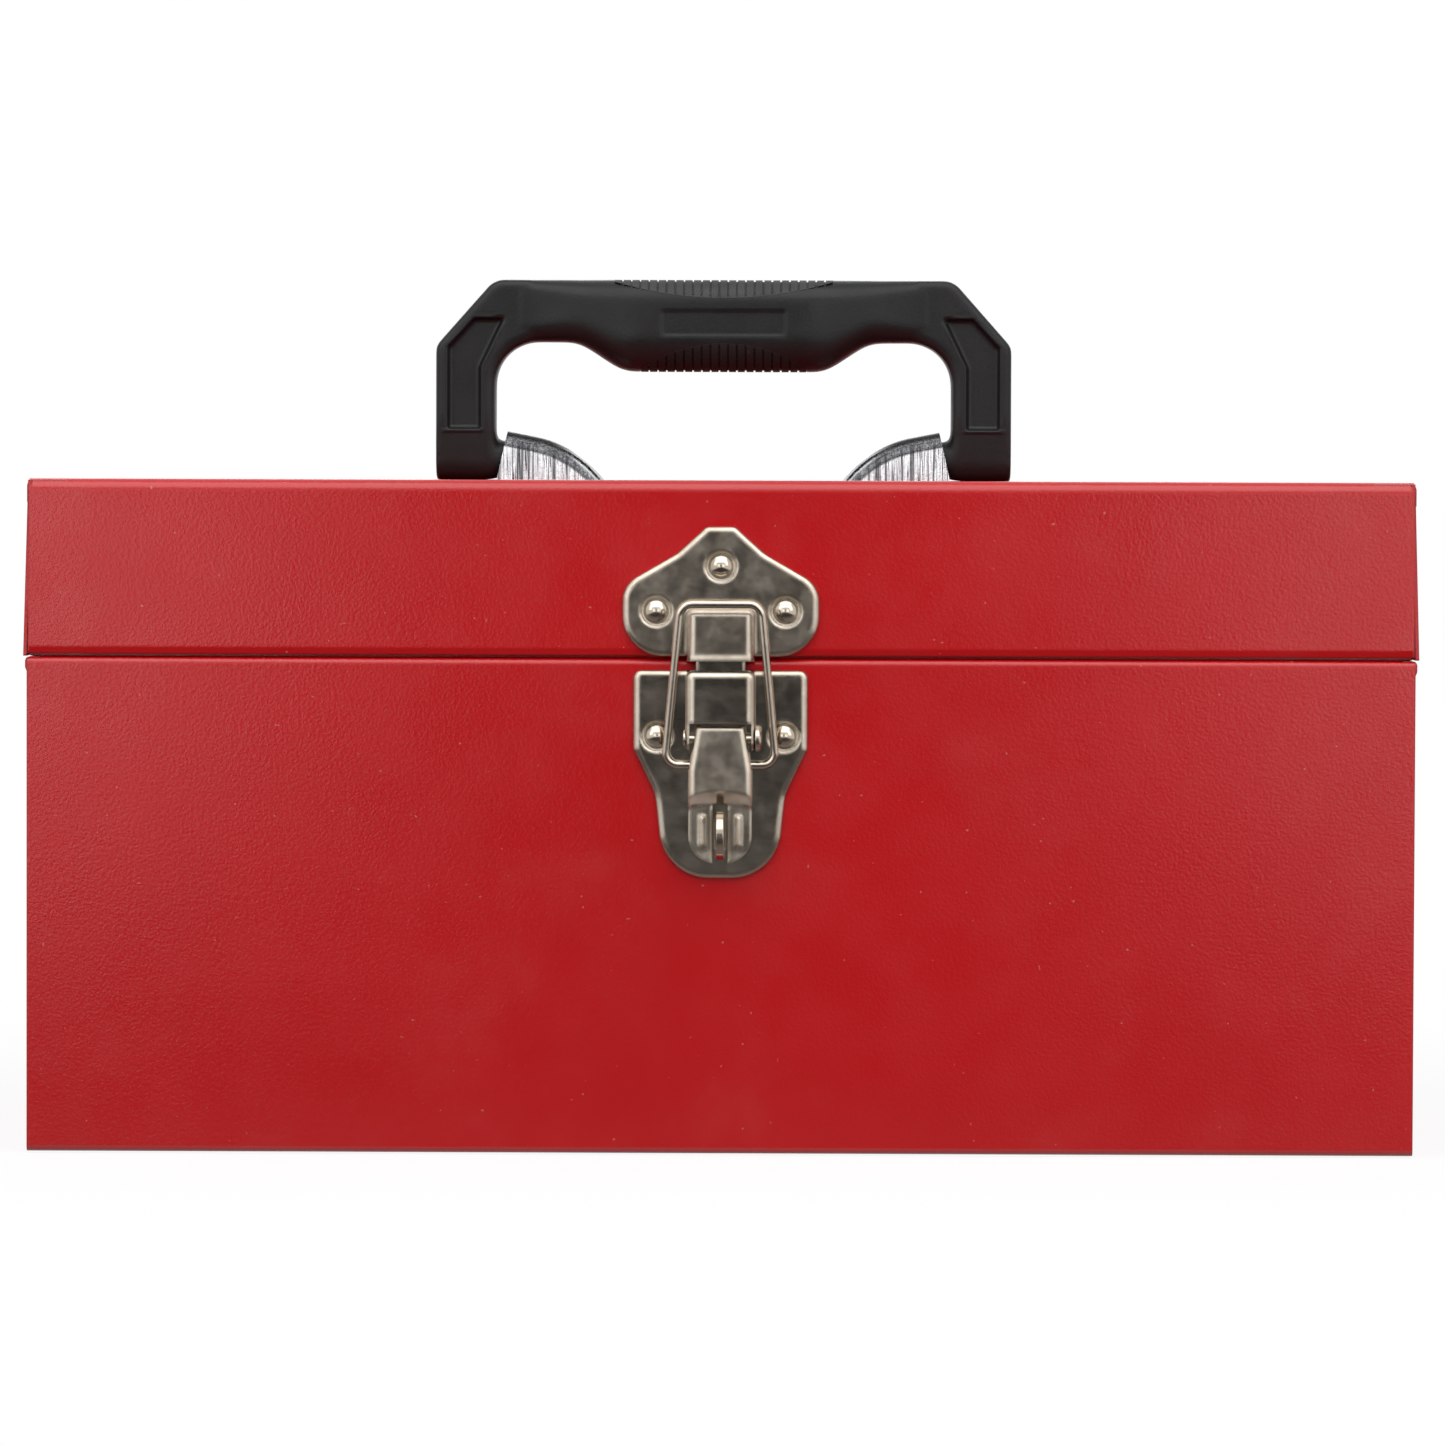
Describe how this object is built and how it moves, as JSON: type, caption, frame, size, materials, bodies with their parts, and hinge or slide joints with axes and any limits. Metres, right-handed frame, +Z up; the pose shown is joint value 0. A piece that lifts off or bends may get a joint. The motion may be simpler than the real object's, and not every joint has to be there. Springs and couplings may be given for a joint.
{
  "type": "toolbox with lift-out tray",
  "caption": "Rectangular steel toolbox with a hinged lid, a draw latch that takes a padlock, a folding top handle and a lift-out tray.",
  "frame": {"origin": "centre of the box's underside", "axes": "+X along the box's length, to the right as seen from the latch side; +Y from the latch side to the hinge side; +Z up"},
  "size_m": [0.3518, 0.1758, 0.2223],
  "materials": {
    "red_paint": "gloss paint with fine orange peel",
    "nickel_plate": "warm nickel plating over pressed steel",
    "bright_chrome": "bright plating",
    "zinc_steel": "plain zinc-plated steel",
    "black_plastic": "satin moulded plastic",
    "grip_rubber": "ribbed soft grip"
  },
  "bodies": {
    "body": {"body_wrap": "red_paint", "body_end_left": "red_paint", "body_end_right": "red_paint", "hinge_leaf_body": "red_paint", "hinge_pin": "zinc_steel", "tray_rest_left": "red_paint", "tray_rest_right": "red_paint", "latch_base_plate": "nickel_plate", "latch_base_rivets": "nickel_plate", "latch_bridge": "nickel_plate", "lever_pin": "nickel_plate", "padlock_staple": "nickel_plate"},
    "lid": {"lid_shell": "red_paint", "hinge_leaf_lid": "red_paint", "keeper_plate": "nickel_plate", "keeper_rivets": "nickel_plate", "handle_bracket_left": "bright_chrome", "handle_bracket_right": "bright_chrome"},
    "handle": {"handle_frame": "black_plastic", "grip_pad_top": "grip_rubber", "grip_pad_bottom": "grip_rubber"},
    "lever": {"latch_lever": "nickel_plate"},
    "bail": {"latch_bail": "nickel_plate"},
    "tray": {"tray_shell": "red_paint", "tray_handle": "zinc_steel", "tray_handle_rivets": "zinc_steel"}
  },
  "joints": [
    {"name": "lid_hinge", "type": "hinge", "parent": "body", "child": "lid", "pos_m": [0, 0.0803, 0.1254], "axis": [-1, 0, 0], "range_deg": [0, 105]},
    {"name": "handle_swing", "type": "hinge", "parent": "lid", "child": "handle", "pos_m": [0, 0, 0.1756], "axis": [1, 0, 0], "range_deg": [-76, 76]},
    {"name": "latch_lever_swing", "type": "hinge", "parent": "body", "child": "lever", "pos_m": [0, -0.0829, 0.105], "axis": [-1, 0, 0], "range_deg": [0, 110]},
    {"name": "latch_bail_swing", "type": "hinge", "parent": "lever", "child": "bail", "pos_m": [0, -0.0814, 0.0984], "axis": [-1, 0, 0], "range_deg": [-127, 0]},
    {"name": "tray_lift", "type": "slide", "parent": "body", "child": "tray", "axis": [0, 0, 1], "range_m": [0, 0.024]}
  ],
  "couplings": [
    {"joint": "latch_bail_swing", "follows": "latch_lever_swing", "ratio": -1.15}
  ]
}
